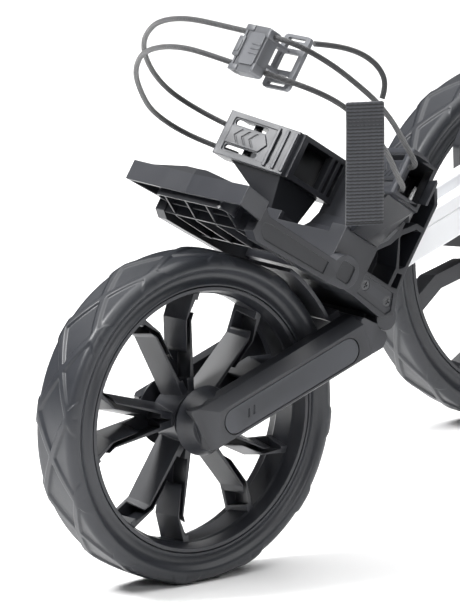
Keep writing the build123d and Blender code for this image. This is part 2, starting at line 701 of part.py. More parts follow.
with BuildPart() as hub_left:
    extrude(rounded(side(0), hub_outline, 8), amount=HUB_HALF)
    nose = [(273, 124), (300, 114), (300, 178), (273, 164)]
    extrude(outline(side(0), nose), amount=24)
    # the rails end in the front, the mast knuckle turns in the slot above them
    rail_bay = side(0, *RAIL_MID, turn=RAIL_INCLINE)
    bay = [(40, -15.6), (RAIL_TO + 0.3, -15.6), (RAIL_TO + 0.3, 15.6), (40, 15.6)]
    extrude(outline(rail_bay, bay), amount=20.6, mode=Mode.SUBTRACT)
    mast_bay = [(292, 150), (300, 143.5), (312, 143.5), (322, 150), (334, 200), (240, 215), (240, 150)]
    extrude(outline(side(0), mast_bay), amount=16.6, mode=Mode.SUBTRACT)
    # the rear leg's knuckle turns in a side slot
    leg_bay = Plane(origin=at(0, 0, 118), x_dir=(1, 0, 0), z_dir=(0, 0, 1))
    bay = [(312, -20.5), (362, -6), (362, -60), (300, -60), (306, -38)]
    extrude(outline(leg_bay, bay), amount=22.4, mode=Mode.SUBTRACT)
    upright = Plane(origin=at(LEG_X, -LEG_Y, 104), x_dir=(1, 0, 0), z_dir=(0, 0, 1))
    extrude(disc(upright, LEG_PIN_R), amount=50, mode=Mode.SUBTRACT)
    extrude(disc(side(0, MAST_X, MAST_Z), 5), amount=30, mode=Mode.SUBTRACT)

with BuildPart() as hub_right:
    add(mirror(hub_left.part, about=Plane.XZ, mode=Mode.PRIVATE))

with BuildPart() as hub_pins:
    extrude(disc(side(0, MAST_X, MAST_Z), 5), amount=30, both=True)
    for y in (-LEG_Y, LEG_Y):
        upright = Plane(origin=at(LEG_X, y, 104), x_dir=(1, 0, 0), z_dir=(0, 0, 1))
        extrude(disc(upright, LEG_PIN_R), amount=50)

# ---------------------------------------------------------------- rear legs
leg_end = (WHEELBASE, -(HALF_TRACK - 42), REAR_RADIUS - FRONT_RADIUS)
with BuildPart() as rear_leg_left:
    upright = Plane(origin=at(LEG_X, -LEG_Y, 118.4), x_dir=(1, 0, 0), z_dir=(0, 0, 1))
    extrude(disc(upright, 12.5), amount=21.6)
    add(
        tube(
            [
                at(LEG_X + 6, -LEG_Y - 6, 129.2),
                at(LEG_X + 60, -LEG_Y - 50, 129.2),
                at(leg_end[0] - 12, leg_end[1] + 14, leg_end[2] + 34),
                at(leg_end[0], leg_end[1], leg_end[2] + 4),
            ],
            9.0,
            0,
            12,
        )
    )
    extrude(disc(side(leg_end[1] + 12, leg_end[0], leg_end[2]), 17), amount=26)
    extrude(disc(upright, LEG_PIN_R + RUNNING), amount=40, mode=Mode.SUBTRACT)
    extrude(disc(side(leg_end[1] + 30, leg_end[0], leg_end[2]), AXLE_R), amount=60, mode=Mode.SUBTRACT)

with BuildPart() as rear_leg_right:
    add(mirror(rear_leg_left.part, about=Plane.XZ, mode=Mode.PRIVATE))

with BuildPart() as rear_axle_left:
    extrude(disc(side(leg_end[1] + 12, leg_end[0], leg_end[2]), AXLE_R), amount=76)
    extrude(disc(side(-HALF_TRACK - 20, leg_end[0], leg_end[2]), 10), amount=4)

with BuildPart() as rear_axle_right:
    add(mirror(rear_axle_left.part, about=Plane.XZ, mode=Mode.PRIVATE))

with BuildPart() as hub_cap_left:
    cap = disc(side(-HALF_TRACK - 19.5, leg_end[0], leg_end[2]), 16)
    extrude(cap, amount=7)
    cap = disc(side(-HALF_TRACK - 19.4, leg_end[0], leg_end[2]), 11)
    extrude(cap, amount=5, mode=Mode.SUBTRACT)

with BuildPart() as hub_cap_right:
    add(mirror(hub_cap_left.part, about=Plane.XZ, mode=Mode.PRIVATE))

# ---------------------------------------------------------------- mast
MAST_LONG, MAST_HALF = 588.0, 14.0
mast_section = Plane(origin=mast_point(16), x_dir=(0, 1, 0), z_dir=mast_dir)
with BuildPart() as mast_tube:
    with BuildSketch(mast_section):
        RectangleRounded(2 * MAST_HALF, 24, 5)
        RectangleRounded(2 * MAST_HALF - 4, 20, 3, mode=Mode.SUBTRACT)
    extrude(amount=MAST_LONG - 46)

with BuildPart() as mast_knuckle:
    extrude(disc(side(0, MAST_X, MAST_Z), 13), amount=16, both=True)
    with BuildSketch(Plane(origin=mast_point(0), x_dir=(0, 1, 0), z_dir=mast_dir)):
        RectangleRounded(2 * MAST_HALF, 22, 3)
    extrude(amount=15.9)
    extrude(disc(side(0, MAST_X, MAST_Z), 5 + RUNNING), amount=30, both=True, mode=Mode.SUBTRACT)

UPPER_AT = 352.0
with BuildPart() as upper_bracket:
    block = Plane(origin=mast_point(UPPER_AT - 24), x_dir=(0, 1, 0), z_dir=mast_dir)
    with BuildSketch(block):
        with Locations((0, 8)):
            RectangleRounded(58, 52, 6)
        RectangleRounded(2 * MAST_HALF + 0.04, 24.04, 5, mode=Mode.SUBTRACT)
    extrude(amount=48)

with BuildPart() as upper_arms:
    block = Plane(origin=mast_point(UPPER_AT - 17.5), x_dir=(0, 1, 0), z_dir=mast_dir)
    for k in (1, -1):
        arm = [(10 * k, 34.1), (29 * k, 34.1), (106 * k, 62), (106 * k, 92), (44 * k, 60), (10 * k, 50)]
        extrude(outline(block, arm), amount=35)

with BuildPart() as upper_pads:
    block = Plane(origin=mast_point(UPPER_AT - 17.5), x_dir=(0, 1, 0), z_dir=mast_dir)
    for k in (1, -1):
        pad = [(46 * k, 61.2), (106 * k, 92.2), (105 * k, 95.2), (45 * k, 64.2)]
        extrude(outline(block, pad), amount=35)

# ---------------------------------------------------------------- handle
HEAD = (MAST_X + MAST_LONG * mast_dir[0], MAST_Z + MAST_LONG * mast_dir[2])
with BuildPart() as mast_head:
    block = Plane(origin=mast_point(MAST_LONG - 60), x_dir=(0, 1, 0), z_dir=mast_dir)
    with BuildSketch(block):
        RectangleRounded(44, 38, 7)
        RectangleRounded(2 * MAST_HALF + 0.04, 24.04, 5, mode=Mode.SUBTRACT)
    extrude(amount=30)
    with BuildSketch(block.offset(30)):
        RectangleRounded(44, 38, 7)
    extrude(amount=12)
    for k in (1, -1):
        ear = slot(side(-12.4 * k, *HEAD, turn=MAST_INCLINE), 44, 30, (-6.5, 0))
        extrude(ear, amount=9.6 * k)
    extrude(disc(side(0, *HEAD), 5), amount=30, both=True, mode=Mode.SUBTRACT)

with BuildPart() as handle_pin:
    extrude(disc(side(0, *HEAD), 5), amount=21.5, both=True)

HANDLE_RISE = 34.0
handle_dir = (cos(radians(HANDLE_RISE)), sin(radians(HANDLE_RISE)))


def handle_point(along, y=0.0, up=0.0):
    return at(
        HEAD[0] + along * handle_dir[0] - up * handle_dir[1],
        y,
        HEAD[1] + along * handle_dir[1] + up * handle_dir[0],
    )


with BuildPart() as handle_stem:
    extrude(disc(side(0, *HEAD), 13), amount=12, both=True)
    stem = Plane(origin=handle_point(6), x_dir=(0, 1, 0), z_dir=(handle_dir[0], 0, handle_dir[1]))
    with BuildSketch(stem):
        RectangleRounded(23, 20, 4)
    extrude(amount=70)
    with BuildSketch(stem.offset(64)):
        RectangleRounded(70, 26, 6)
    extrude(amount=26)
    extrude(disc(side(0, *HEAD), 5 + RUNNING), amount=30, both=True, mode=Mode.SUBTRACT)

with BuildPart() as handle_loop:
    add(
        tube(
            [
                handle_point(96.1, -25),
                handle_point(116, -25),
                handle_point(140, -74),
                handle_point(178, -88),
                handle_point(200, -60),
                handle_point(200, 60),
                handle_point(178, 88),
                handle_point(140, 74),
                handle_point(116, 25),
                handle_point(96.1, 25),
            ],
            11.0,
            0,
            [14, 22, 16, 16, 16, 16, 22, 14],
        )
    )

GRIP_HALF = 36.0
with BuildPart() as handle_grip:
    middle = Plane(origin=handle_point(200, 0), x_dir=(1, 0, 0), z_dir=(0, 1, 0))
    extrude(ring(middle, 15, 11.02), amount=GRIP_HALF, both=True)

TRAY_FROM, TRAY_HALF = 88.0, 24.0
with BuildPart() as console_tray:
    floor = Plane(
        origin=handle_point(TRAY_FROM + 14, 0, 16.5),
        x_dir=(handle_dir[0], 0, handle_dir[1]),
        z_dir=(-handle_dir[1], 0, handle_dir[0]),
    )
    with BuildSketch(floor):
        with Locations((20, 0)):
            RectangleRounded(66, 2 * TRAY_HALF, 8)
    extrude(amount=22)
    with BuildSketch(floor.offset(2.5)):
        with Locations((20, 0)):
            RectangleRounded(61, 2 * TRAY_HALF - 5, 5.5)
    extrude(amount=30, mode=Mode.SUBTRACT)
    with BuildSketch(floor.offset(-3.4)):
        with Locations((-12, 0)):
            Rectangle(22, 36)
    extrude(amount=5)

with BuildPart() as console_lid:
    with BuildSketch(floor.offset(22.4)):
        with Locations((20, 0)):
            RectangleRounded(66, 2 * TRAY_HALF, 8)
    extrude(amount=3)
    with BuildSketch(floor.offset(20)):
        with Locations((20, 0)):
            RectangleRounded(58, 2 * TRAY_HALF - 8, 4)
    extrude(amount=2.5)

with BuildPart() as brake_lever:
    lever = side(0, *HEAD, turn=HANDLE_RISE)
    bar = [(98.5, -32), (104, -16.5), (112, -16.5), (118, -26), (168, -27), (168, -33), (112, -36)]
    extrude(outline(lever, bar), amount=14, both=True)

# ---------------------------------------------------------------- export
named = {
    "front_tyre": front_tyre,
    "front_rim": front_rim,
    "front_spokes": front_spokes,
    "front_axle": front_axle,
    "fork_leg_left": fork_leg_left,
    "fork_leg_right": fork_leg_right,
    "fork_cover_left": fork_cover_left,
    "fork_cover_right": fork_cover_right,
    "fork_crown": fork_crown,
    "fork_pin": fork_pin,
    "mudguard": mudguard,
    "rail_left": rail_left,
    "rail_right": rail_right,
    "rail_spacer": rail_spacer,
    "bracket_body": bracket_body,
    "bracket_screws": bracket_screws,
    "foot_pivots": foot_pivots,
    "foot_frame": foot_frame,
    "arm_left": arm_left,
    "arm_right": arm_right,
    "pad_left": pad_left,
    "pad_right": pad_right,
    "cord_posts": cord_posts,
    "cord_upper_far": cord_upper_far,
    "cord_lower_far": cord_lower_far,
    "cord_upper_near": cord_upper_near,
    "cord_lower_near": cord_lower_near,
    "cord_tail": cord_tail,
    "buckle_body": buckle_body,
    "buckle_tongue": buckle_tongue,
    "ladder_lock": ladder_lock,
    "webbing_pull": webbing_pull,
    "hub_left": hub_left,
    "hub_right": hub_right,
    "hub_pins": hub_pins,
    "rear_leg_left": rear_leg_left,
    "rear_leg_right": rear_leg_right,
    "rear_axle_left": rear_axle_left,
    "rear_axle_right": rear_axle_right,
    "rear_rim_left": rear_rim_left,
    "rear_spokes_left": rear_spokes_left,
    "rear_rim_right": rear_rim_right,
    "rear_spokes_right": rear_spokes_right,
    "rear_tyre_left": rear_tyre_left,
    "rear_tyre_right": rear_tyre_right,
    "hub_cap_left": hub_cap_left,
    "hub_cap_right": hub_cap_right,
    "mast_tube": mast_tube,
    "mast_knuckle": mast_knuckle,
    "mast_head": mast_head,
    "upper_bracket": upper_bracket,
    "upper_arms": upper_arms,
    "upper_pads": upper_pads,
    "handle_pin": handle_pin,
    "handle_stem": handle_stem,
    "handle_loop": handle_loop,
    "handle_grip": handle_grip,
    "console_tray": console_tray,
    "console_lid": console_lid,
    "brake_lever": brake_lever,
}
for label, piece in named.items():
    piece.part.label = label
    export_step(piece.part, f"parts/{label}.step")
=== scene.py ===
"""Blender scene of the golf push cart: CAD frame, procedural materials, tyres, strap and studio."""

import json
from math import cos, pi, radians, sin

import bmesh
import bpy
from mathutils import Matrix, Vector


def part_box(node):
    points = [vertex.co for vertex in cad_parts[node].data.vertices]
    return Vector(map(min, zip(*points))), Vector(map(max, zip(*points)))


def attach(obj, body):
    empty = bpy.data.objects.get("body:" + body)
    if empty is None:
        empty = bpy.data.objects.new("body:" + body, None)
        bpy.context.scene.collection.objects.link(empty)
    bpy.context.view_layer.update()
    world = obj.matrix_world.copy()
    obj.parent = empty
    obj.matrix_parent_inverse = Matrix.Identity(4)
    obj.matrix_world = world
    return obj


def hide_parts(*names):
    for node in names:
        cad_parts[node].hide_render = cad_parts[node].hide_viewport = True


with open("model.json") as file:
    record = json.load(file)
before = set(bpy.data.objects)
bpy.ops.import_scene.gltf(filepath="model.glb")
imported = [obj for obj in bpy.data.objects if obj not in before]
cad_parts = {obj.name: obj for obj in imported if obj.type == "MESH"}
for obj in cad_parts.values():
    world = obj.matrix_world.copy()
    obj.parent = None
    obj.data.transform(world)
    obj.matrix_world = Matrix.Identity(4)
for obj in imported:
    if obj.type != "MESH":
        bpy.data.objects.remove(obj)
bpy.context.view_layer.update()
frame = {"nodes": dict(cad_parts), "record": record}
nodes = frame["nodes"]
scene = bpy.context.scene

# ------------------------------------------------------------------ frames
MM = 0.001
BAG_INCLINE = radians(57.5)  # of the bag's axis from the floor
D = Vector((-sin(BAG_INCLINE), 0, cos(BAG_INCLINE)))  # out of the bag's front
N = Vector((cos(BAG_INCLINE), 0, sin(BAG_INCLINE)))  # along the bag


def middle_of(node):
    """Middle of a CAD node's box."""
    low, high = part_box(node)
    return (low + high) / 2


AXLE = middle_of("front_tyre")


def bag(s, y, h):
    """A point given in millimetres out of the bag, across and along it, from the front axle."""
    return AXLE + D * (s * MM) + N * (h * MM) + Vector((0, y * MM, 0))


# ------------------------------------------------------------------ material helpers
class Shader:
    """A node tree under construction, with short names for the nodes that it needs."""

    def __init__(self, name):
        self.material = bpy.data.materials.new(name)
        self.material.use_nodes = True
        self.tree = self.material.node_tree
        self.bsdf = self.tree.nodes["Principled BSDF"]

    def node(self, kind, **settings):
        made = self.tree.nodes.new(kind)
        for key, value in settings.items():
            setattr(made, key, value)
        return made

    def link(self, source, target):
        self.tree.links.new(source, target)

    def coordinates(self, scale=(1, 1, 1), turn=(0, 0, 0)):
        """The object's own coordinates in metres, scaled and turned."""
        place = self.node("ShaderNodeTexCoord")
        mapping = self.node("ShaderNodeMapping")
        mapping.inputs["Scale"].default_value = scale
        mapping.inputs["Rotation"].default_value = turn
        self.link(place.outputs["Object"], mapping.inputs["Vector"])
        return mapping.outputs["Vector"]

    def bands(self, vector, scale, distortion, detail):
        """Straight sine bands along the vector's X."""
        made = self.node("ShaderNodeTexWave", wave_type="BANDS", bands_direction="X")
        made.inputs["Scale"].default_value = scale
        made.inputs["Distortion"].default_value = distortion
        made.inputs["Detail"].default_value = detail
        self.link(vector, made.inputs["Vector"])
        return made.outputs["Fac"]

    def noise(self, vector, scale, detail=3.0):
        made = self.node("ShaderNodeTexNoise")
        made.inputs["Scale"].default_value = scale
        made.inputs["Detail"].default_value = detail
        made.inputs["Roughness"].default_value = 0.55
        self.link(vector, made.inputs["Vector"])
        return made.outputs["Fac"]

    def ramp(self, value, stops):
        """A colour from a value by (position, colour) stops."""
        made = self.node("ShaderNodeValToRGB")
        elements = made.color_ramp.elements
        while len(elements) < len(stops):
            elements.new(0.5)
        for element, (place, colour) in zip(elements, stops):
            element.position = place
            element.color = (*colour, 1)
        self.link(value, made.inputs["Fac"])
        return made.outputs["Color"]

    def span(self, value, low, high):
        """A value from 0..1 spread from low to high."""
        made = self.node("ShaderNodeMapRange")
        made.inputs["To Min"].default_value = low
        made.inputs["To Max"].default_value = high
        self.link(value, made.inputs["Value"])
        return made.outputs["Result"]

    def bump(self, height, distance, strength=1.0, normal=None):
        made = self.node("ShaderNodeBump")
        made.inputs["Distance"].default_value = distance
        made.inputs["Strength"].default_value = strength
        self.link(height, made.inputs["Height"])
        if normal is not None:
            self.link(normal, made.inputs["Normal"])
        return made.outputs["Normal"]

    def edge(self, radius):
        """Normals that round the sharp edges by a radius."""
        made = self.node("ShaderNodeBevel", samples=6)
        made.inputs["Radius"].default_value = radius
        return made.outputs["Normal"]

    def mix(self, factor, first, second):
        """Colour between two, each a socket or a plain colour."""
        made = self.node("ShaderNodeMix")
        made.data_type = "RGBA"
        self.link(factor, made.inputs["Factor"])
        for socket, value in (("A", first), ("B", second)):
            target = [i for i in made.inputs if i.name == socket and i.type == "RGBA"][0]
            if hasattr(value, "is_linked"):
                self.link(value, target)
            else:
                target.default_value = (*value, 1)
        return [o for o in made.outputs if o.type == "RGBA"][0]


def moulded_plastic(name, dark, light, rough, edge=0.0008, grain=0.00006):
    """Moulded plastic with a fine grain, slight colour drift, rounded edges and a painted highlight that
    pales the sharp edges.
    """
    sh = Shader(name)
    place = sh.coordinates()
    drift = sh.noise(place, 9.0, 4.0)
    fine = sh.noise(place, 900.0, 2.0)
    colour = sh.ramp(drift, [(0.3, dark), (0.75, light)])
    # Painted highlight: sharp convex edges (high pointiness) get a paler colour, standing in for light
    # caught on the edges.
    edge_pointiness = sh.node("ShaderNodeNewGeometry").outputs["Pointiness"]
    edge_highlight_mask = sh.ramp(edge_pointiness, [(0.5, (0, 0, 0)), (0.62, (1, 1, 1))])
    edge_highlight_colour = tuple(min(1.0, c * 1.5 + 0.01) for c in light)
    colour = sh.mix(edge_highlight_mask, colour, edge_highlight_colour)
    sh.link(colour, sh.bsdf.inputs["Base Color"])
    sh.link(sh.span(sh.noise(place, 60.0, 3.0), rough - 0.05, rough + 0.07), sh.bsdf.inputs["Roughness"])
    sh.link(sh.bump(fine, grain, 0.5, sh.edge(edge)), sh.bsdf.inputs["Normal"])
    return sh.material


def tyre_rubber():
    """Dark grey rubber with a fine grain."""
    sh = Shader("tyre_rubber")
    place = sh.coordinates()
    drift = sh.noise(place, 14.0, 5.0)
    colour = sh.ramp(drift, [(0.3, (0.017, 0.019, 0.023)), (0.75, (0.027, 0.029, 0.035))])
    sh.link(colour, sh.bsdf.inputs["Base Color"])
    sh.link(sh.span(sh.noise(place, 120.0), 0.34, 0.46), sh.bsdf.inputs["Roughness"])
    sh.link(sh.bump(sh.noise(place, 1400.0, 2.0), 0.00008, 0.5), sh.bsdf.inputs["Normal"])
    return sh.material


def painted(name, colour, rough, coat=0.4):
    """Paint under a thin clear coat with a slight orange peel."""
    sh = Shader(name)
    place = sh.coordinates()
    drift = sh.noise(place, 5.0, 3.0)
    darker = tuple(c * 0.94 for c in colour)
    sh.link(sh.ramp(drift, [(0.3, darker), (0.7, colour)]), sh.bsdf.inputs["Base Color"])
    sh.bsdf.inputs["Coat Weight"].default_value = coat
    sh.bsdf.inputs["Coat Roughness"].default_value = 0.12
    sh.link(sh.span(sh.noise(place, 80.0), rough - 0.04, rough + 0.06), sh.bsdf.inputs["Roughness"])
    peel = sh.noise(place, 420.0, 1.0)
    sh.link(sh.bump(peel, 0.00005, 0.35, sh.edge(0.0006)), sh.bsdf.inputs["Normal"])
    return sh.material


def turned_steel():
    """Bare steel with fine turning marks."""
    sh = Shader("turned_steel")
    place = sh.coordinates(scale=(1, 30, 1))
    fine = sh.noise(place, 220.0, 3.0)
    sh.bsdf.inputs["Metallic"].default_value = 1.0
    colour = sh.ramp(fine, [(0.3, (0.36, 0.37, 0.39)), (0.7, (0.56, 0.57, 0.59))])
    sh.link(colour, sh.bsdf.inputs["Base Color"])
    sh.link(sh.span(fine, 0.28, 0.45), sh.bsdf.inputs["Roughness"])
    sh.link(sh.bump(fine, 0.00004, 0.4, sh.edge(0.0004)), sh.bsdf.inputs["Normal"])
    return sh.material


def braided_cord():
    """Braided sleeve: two crossed sets of strands in the object's coordinates."""
    sh = Shader("braided_cord")
    waves = []
    for turn in (0.62, -0.62):
        waves.append(sh.bands(sh.coordinates(turn=(0.4, turn, turn)), 260.0, 0.6, 1.0))
    weave = sh.node("ShaderNodeMath", operation="MULTIPLY")
    sh.link(waves[0], weave.inputs[0])
    sh.link(waves[1], weave.inputs[1])
    woven = weave.outputs["Value"]
    colour = sh.ramp(woven, [(0.0, (0.004, 0.004, 0.005)), (0.9, (0.030, 0.032, 0.037))])
    sh.link(colour, sh.bsdf.inputs["Base Color"])
    sh.bsdf.inputs["Roughness"].default_value = 0.62
    sh.bsdf.inputs["Sheen Weight"].default_value = 0.25
    sh.link(sh.bump(woven, 0.0003, 0.8), sh.bsdf.inputs["Normal"])
    return sh.material


def woven_webbing():
    """Webbing yarn with painted shade between the ribs and a painted highlight on their tops, from the
    mesh's own "rib" value, which is 1 on top of a rib.
    """
    sh = Shader("woven_webbing")
    place = sh.coordinates()
    yarn = sh.bands(place, 420.0, 1.2, 2.0)
    fuzz = sh.noise(place, 1600.0, 2.0)
    colour = sh.ramp(yarn, [(0.1, (0.014, 0.015, 0.018)), (0.9, (0.036, 0.038, 0.044))])
    dusted = sh.mix(fuzz, colour, (0.030, 0.032, 0.037))
    rib = sh.node("ShaderNodeAttribute")
    rib.attribute_name = "rib"
    # Painted shade and highlight: the colour is scaled down in the troughs between ribs and up on the rib
    # tops.
    rib_shade_and_highlight = sh.ramp(rib.outputs["Fac"], [(0.1, (0.25, 0.25, 0.25)), (0.75, (1.6, 1.6, 1.65))])
    shade = sh.node("ShaderNodeVectorMath", operation="MULTIPLY")
    sh.link(dusted, shade.inputs[0])
    sh.link(rib_shade_and_highlight, shade.inputs[1])
    sh.link(shade.outputs["Vector"], sh.bsdf.inputs["Base Color"])
    sh.bsdf.inputs["Roughness"].default_value = 0.78
    sh.bsdf.inputs["Sheen Weight"].default_value = 0.35
    sh.link(sh.bump(yarn, 0.00025, 0.7), sh.bsdf.inputs["Normal"])
    return sh.material


CHARCOAL = moulded_plastic("charcoal_plastic", (0.009, 0.010, 0.013), (0.015, 0.016, 0.020), 0.34)
COVER = moulded_plastic("cover_plastic", (0.020, 0.022, 0.027), (0.028, 0.030, 0.036), 0.42)
GREY = moulded_plastic("buckle_plastic", (0.060, 0.063, 0.070), (0.085, 0.088, 0.096), 0.40, edge=0.0006)
GRIP = moulded_plastic("grip_rubber", (0.012, 0.012, 0.014), (0.02, 0.02, 0.023), 0.65, grain=0.0002)
WHITE = painted("white_paint", (0.80, 0.81, 0.83), 0.30)
BLACK = painted("black_paint", (0.014, 0.015, 0.018), 0.34)
STEEL = turned_steel()
SCREW = painted("zinc_black_screw", (0.035, 0.037, 0.042), 0.3)
RUBBER = tyre_rubber()
CORD = braided_cord()
WEB = woven_webbing()

finish = {
    "steel": STEEL,
    "white_paint": WHITE,
    "black_paint": BLACK,
    "grip_rubber": GRIP,
    "grey_plastic": GREY,
    "black_plastic": CHARCOAL,
    "tyre": RUBBER,
    "elastic_cord": CORD,
    "webbing": WEB,
}
for part in frame["record"]["subparts"]:
    materials = nodes[part["node"]].data.materials
    materials.clear()
    materials.append(finish[part["material_slot"]])
nodes["bracket_screws"].data.materials[0] = SCREW
for name in ("fork_cover_left", "fork_cover_right", "pad_left", "pad_right"):
    nodes[name].data.materials[0] = COVER


def piece(name, mesh, body, material, slot, *replaced):
    """A new object from a mesh, riding on a body and standing for CAD nodes."""
    made = bpy.data.objects.new(name, mesh)
    scene.collection.objects.link(made)
    made.data.materials.append(material)
    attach(made, body)
    if replaced:
        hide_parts(*replaced)
    return made


def smooth(mesh, angle=0.6):
    """Smooth shading that keeps edges sharper than the angle."""
    mesh.shade_smooth()
    mesh.set_sharp_from_angle(angle=angle)


# ------------------------------------------------------------------ tyres
def ease(value, start, stop):
    """Smooth step from 0 at start to 1 at stop."""
    t = min(1.0, max(0.0, (value - start) / (stop - start)))
    return t * t * (3 - 2 * t)


TREAD_HALF = 18.0  # where the crossed ribs meet again beside the crown's middle
RIB_FLAT, RIB_FOOT, RIB_RISE = 2.1, 3.7, 1.5  # half width at the top and the foot, and the height
RIB_START = radians(7.1)  # where two ribs cross on the crown
CROWN_HALF, SHOULDER_OUT, SHOULDER_DROP = 16.0, 6.3, 8.0
AROUND = 900  # steps round a tyre


def tyre_profile(radius):
    """Points (y, r) in mm from the crown's middle over the shoulder and down the sidewall to the bead."""
    points = [(0.75 * k, radius) for k in range(22)]
    for k in range(1, 11):
        a = pi / 2 * k / 10
        points.append((CROWN_HALF + SHOULDER_OUT * sin(a), radius - SHOULDER_DROP * (1 - cos(a))))
    # crest, dished ring, lip and bead, as (y, depth under the crown)
    crest = [(22.4, 9.3), (22.2, 10.4), (21.2, 11.6), (19.6, 12.8)]
    dish = [(18.4, 14.2), (17.8, 15.8), (17.7, 17.4), (18.2, 19.0), (19.2, 20.2)]
    lip = [(20.0, 21.3), (20.2, 22.1), (20.1, 22.8), (19.4, 23.2)]
    bead = [(17.65, 23.2), (17.65, 25.4)]
    return points + [(y, radius - drop) for y, drop in crest + dish + lip + bead]


def tread_drop(angle, y, repeats, radius):
    """How far the tread lies under the tops of the two crossed families of ribs, in mm."""
    across = 1 / (2 * TREAD_HALF)
    around = repeats / (2 * pi * radius)
    pitch = 1 / (across**2 + around**2) ** 0.5
    nearest = pitch
    for sign in (1, -1):
        phase = repeats * (angle - RIB_START) / (2 * pi) + sign * y * across
        nearest = min(nearest, abs(phase - round(phase)) * pitch)
    return RIB_RISE * ease(nearest, RIB_FLAT, RIB_FOOT)


def tyre_mesh(name, centre, radius, repeats):
    """Tyre turned from its profile, with the ribs' relief fading out over the shoulders."""
    half_profile = tyre_profile(radius)
    profile = [(-y, r) for y, r in reversed(half_profile[1:])] + half_profile
    mesh = bpy.data.meshes.new(name)
    verts, faces = [], []
    for i in range(AROUND):
        angle = 2 * pi * i / AROUND
        for y, r in profile:
            outer = ease(r, radius - 9.0, radius - 4.5)
            reach = (r - tread_drop(angle, y, repeats, radius) * outer) * MM
            verts.append((centre.x + reach * cos(angle), centre.y + y * MM, centre.z + reach * sin(angle)))
    count = len(profile)
    for i in range(AROUND):
        j = (i + 1) % AROUND
        for k in range(count):
            m = (k + 1) % count
            faces.append((i * count + k, i * count + m, j * count + m, j * count + k))
    mesh.from_pydata(verts, [], faces)
    mesh.validate()
    smooth(mesh, 0.9)
    return mesh


for name, body, repeats in (
    ("front_tyre", "front_wheel", 12),
    ("rear_tyre_left", "wheel_left", 14),
    ("rear_tyre_right", "wheel_right", 14),
):
    low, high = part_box(name)
    radius = (high.z - low.z) / 2 / MM
    mesh = tyre_mesh("treaded_" + name, middle_of(name), radius, repeats)
    piece("treaded_" + name, mesh, body, RUBBER, "tyre", name)

# ------------------------------------------------------------------ webbing pull tab
TAB_TOP = AXLE + Vector((7.9, -194.6, 252.4)) * MM
TAB_ACROSS = Vector((0.92, -0.39, 0)).normalized()
TAB_OUT = Vector((-0.39, -0.92, 0)).normalized()
TAB_HALF, TAB_DROP, TAB_LAYER = 13.5, 83.5, 1.05  # half width, length of the front layer, thickness
TAB_BEND = 0.62  # from the fold's middle to a layer's middle
TAB_COLUMNS = 37
RIB_PITCH, RIB_HEIGHT = 2.4, 0.42
SEAM_DROP, SEAM_HALF = 13.6, 2.6  # middle and half height of the pressed band


def tab_point(u, drop, out):
    """A point of the tab, in mm across it, down from its fold and out from its middle."""
    sway = 1.0 * sin(pi * drop / TAB_DROP) + 0.4 * sin(2.3 * pi * drop / TAB_DROP)
    slant = 0.012 * u * sin(pi * drop / TAB_DROP)
    place = TAB_TOP + TAB_ACROSS * (u * MM) + Vector((0, 0, -drop * MM))
    return place + TAB_OUT * ((out + sway + slant) * MM)


def tab_path(step=0.3, tail=2.2):
    """Stations (drop, out, normal) from the back layer's longer end over the fold and down the front."""
    stations = []
    drop = TAB_DROP + tail
    while drop > TAB_BEND:
        stations.append((drop, -TAB_BEND, (0, -1)))
        drop -= step
    for k in range(13):
        a = pi * k / 12
        stations.append((TAB_BEND * (1 - sin(a)), -TAB_BEND * cos(a), (-sin(a), -cos(a))))
    drop = TAB_BEND + step
    while drop < TAB_DROP:
        stations.append((drop, TAB_BEND, (0, 1)))
        drop += step
    return stations


def tab_rows(stations):
    """Points of both faces at every station, and how high on a rib each point lies."""
    columns = [TAB_HALF * (2 * k / (TAB_COLUMNS - 1) - 1) for k in range(TAB_COLUMNS)]
    verts, crowns = [], []
    run, last = 0.0, stations[0]
    for station in stations:
        drop, out, (n_drop, n_out) = station
        run += ((drop - last[0]) ** 2 + (out - last[1]) ** 2) ** 0.5
        last = station
        free = 1 - 0.75 * (1 - ease(abs(drop - SEAM_DROP), SEAM_HALF, SEAM_HALF + 1))
        for face in (1, -1):
            for u in columns:
                rim = 1 - ease(abs(u), TAB_HALF - 1.5, TAB_HALF)
                crown = 0.5 + 0.5 * cos(2 * pi * run / RIB_PITCH + 0.25 * sin(u * 1.9))
                twill = 0.05 * cos(2 * pi * u / 0.9)
                selvedge = 0.12 * ease(abs(u), TAB_HALF - 2.4, TAB_HALF - 1.6)
                relief = (RIB_HEIGHT * crown * free + twill + selvedge) * rim * (face > 0)
                lift = face * (TAB_LAYER / 2 * (0.45 + 0.55 * rim) + relief)
                # Rib height for the webbing's painted shade and highlight; the pressed band gets a flat
                # 0.35 instead.
                crowns.append(crown * free + 0.35 * (1 - free))
                verts.append(tab_point(u, drop + n_drop * lift, out + n_out * lift))
    return verts, crowns


def webbing_tab():
    """Folded webbing with cross ribs, selvedges and a pressed band under the stitching."""
    stations = tab_path()
    verts, crowns = tab_rows(stations)
    faces = []
    wide = TAB_COLUMNS
    for i in range(len(stations) - 1):
        a, b = i * 2 * wide, (i + 1) * 2 * wide
        for k in range(wide - 1):
            faces.append((a + k, a + k + 1, b + k + 1, b + k))
            faces.append((a + wide + k + 1, a + wide + k, b + wide + k, b + wide + k + 1))
        faces.append((a + wide, a, b, b + wide))
        faces.append((a + wide - 1, a + 2 * wide - 1, b + 2 * wide - 1, b + wide - 1))
    end = (len(stations) - 1) * 2 * wide
    for base, turn in ((0, 1), (end, -1)):
        for k in range(wide - 1):
            quad = (base + k, base + wide + k, base + wide + k + 1, base + k + 1)
            faces.append(quad[::turn])
    mesh = bpy.data.meshes.new("webbing_tab")
    mesh.from_pydata(verts, [], faces)
    # The "rib" attribute feeds the painted shade and highlight of the webbing material.
    mesh.attributes.new("rib", "FLOAT", "POINT").data.foreach_set("value", crowns)
    smooth(mesh, 0.8)
    return mesh


